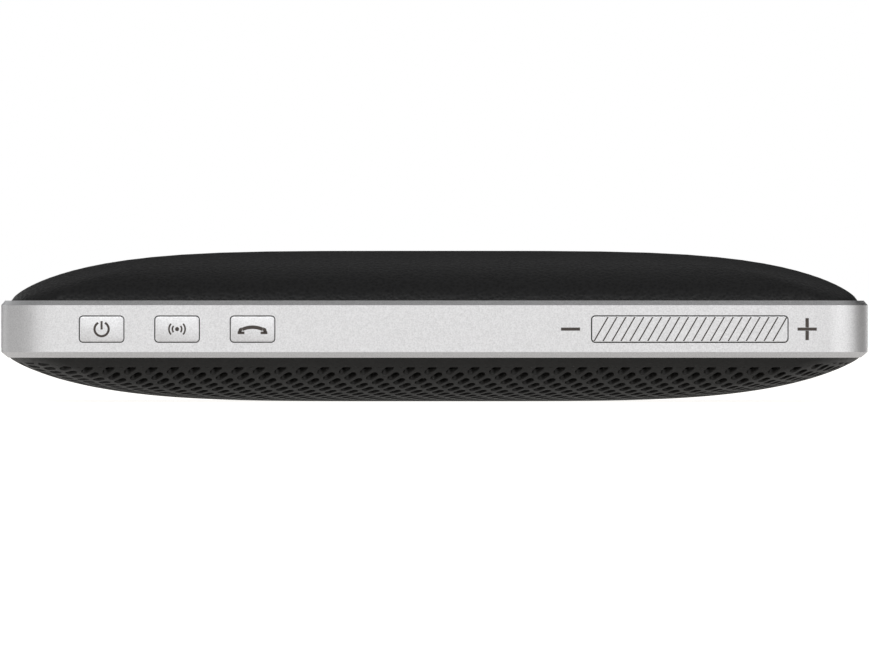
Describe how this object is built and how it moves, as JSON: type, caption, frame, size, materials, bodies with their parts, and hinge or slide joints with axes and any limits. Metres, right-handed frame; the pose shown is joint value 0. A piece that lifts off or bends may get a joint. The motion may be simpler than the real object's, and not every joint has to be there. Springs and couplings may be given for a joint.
{
  "type": "conference speakerphone",
  "caption": "Slim slab speakerphone: crowned leather back with fold-out stand, aluminium edge band with keys and volume rocker, crowned perforated grille.",
  "frame": {"origin": "middle of the case in plan, at the lowest point of the crowned grille", "axes": "+X along the long side, away from the sockets; -Y towards the edge with the keys; +Z towards the leather back"},
  "size_m": [0.1398, 0.0762, 0.0244],
  "materials": {
    "satin_aluminium": "fine bead-blasted, clear anodised",
    "black_rubber": "matte",
    "black_foam": "closed-cell foam",
    "black_leather": "fine grain, semi-matte",
    "black_plastic": "fine moulded texture",
    "stand_metal": "satin black",
    "steel": "plain",
    "magnet_plating": "nickel plated",
    "copper_wire": "enamelled wire winding",
    "cone_paper": "pressed pulp, dyed black",
    "black_grille": "satin black over perforated sheet",
    "acoustic_cloth": "fine woven",
    "circuit_board": "solder mask over glass laminate",
    "chip_black": "moulded epoxy",
    "battery_wrap": "silver laminate pouch",
    "light_pipe": "translucent"
  },
  "bodies": {
    "case": {"audio_socket": "black_plastic", "back_leather": "black_leather", "back_shell": "black_plastic", "battery_pack": "battery_wrap", "battery_pad": "black_foam", "board_chips": "chip_black", "board_screws": "steel", "call_switch": "steel", "case_screws": "steel", "charge_light_pipe": "light_pipe", "charging_socket_insert": "black_plastic", "charging_socket_shell": "steel", "driver_baffle": "black_plastic", "frame_band": "satin_aluminium", "front_grille": "black_grille", "grille_cloth": "acoustic_cloth", "key_board": "circuit_board", "key_carrier": "black_plastic", "left_driver_basket": "steel", "left_driver_gasket": "black_foam", "left_driver_magnet": "magnet_plating", "left_driver_surround": "black_rubber", "left_driver_yoke": "steel", "left_edge_foot": "black_rubber", "left_microphone": "steel", "main_board": "circuit_board", "microphone_boots": "black_rubber", "output_socket_insert": "black_plastic", "output_socket_shell": "steel", "pairing_switch": "steel", "port_board": "circuit_board", "power_switch": "steel", "radio_shield": "steel", "right_driver_basket": "steel", "right_driver_gasket": "black_foam", "right_driver_magnet": "magnet_plating", "right_driver_surround": "black_rubber", "right_driver_yoke": "steel", "right_edge_foot": "black_rubber", "right_microphone": "steel", "stand_hinge_pin": "steel", "volume_down_switch": "steel", "volume_pivot_pin": "steel", "volume_up_switch": "steel"},
    "power_button": {"power_key": "satin_aluminium", "power_plunger": "black_plastic"},
    "pairing_button": {"pairing_key": "satin_aluminium", "pairing_plunger": "black_plastic"},
    "call_button": {"call_key": "satin_aluminium", "call_plunger": "black_plastic"},
    "volume_lever": {"volume_rocker": "satin_aluminium", "volume_down_plunger": "black_plastic", "volume_up_plunger": "black_plastic"},
    "stand": {"stand_leaf": "stand_metal"},
    "left_diaphragm": {"left_driver_cone": "cone_paper", "left_driver_coil": "copper_wire", "left_driver_dust_cap": "cone_paper"},
    "right_diaphragm": {"right_driver_cone": "cone_paper", "right_driver_coil": "copper_wire", "right_driver_dust_cap": "cone_paper"}
  },
  "joints": [
    {"name": "power_press", "type": "slide", "parent": "case", "child": "power_button", "axis": [0, 1, 0], "range_m": [0, 0.0003], "stiffness_N_per_m": 800},
    {"name": "pairing_press", "type": "slide", "parent": "case", "child": "pairing_button", "axis": [0, 1, 0], "range_m": [0, 0.0003], "stiffness_N_per_m": 800},
    {"name": "call_press", "type": "slide", "parent": "case", "child": "call_button", "axis": [0, 1, 0], "range_m": [0, 0.0003], "stiffness_N_per_m": 800},
    {"name": "volume_tilt", "type": "hinge", "parent": "case", "child": "volume_lever", "pos_m": [0.0411, -0.03425, 0.0117], "axis": [0, 0, 1], "range_deg": [-1, 1], "stiffness_Nm_per_rad": 0.3},
    {"name": "stand_fold", "type": "hinge", "parent": "case", "child": "stand", "pos_m": [0, 0.004, 0.02285], "axis": [1, 0, 0], "range_deg": [0, 50]},
    {"name": "left_cone_stroke", "type": "slide", "parent": "case", "child": "left_diaphragm", "axis": [0, 0, 1], "range_m": [-0.0006, 0.0006], "stiffness_N_per_m": 1300, "deforming": ["left_driver_surround"]},
    {"name": "right_cone_stroke", "type": "slide", "parent": "case", "child": "right_diaphragm", "axis": [0, 0, 1], "range_m": [-0.0006, 0.0006], "stiffness_N_per_m": 1300, "deforming": ["right_driver_surround"]}
  ]
}
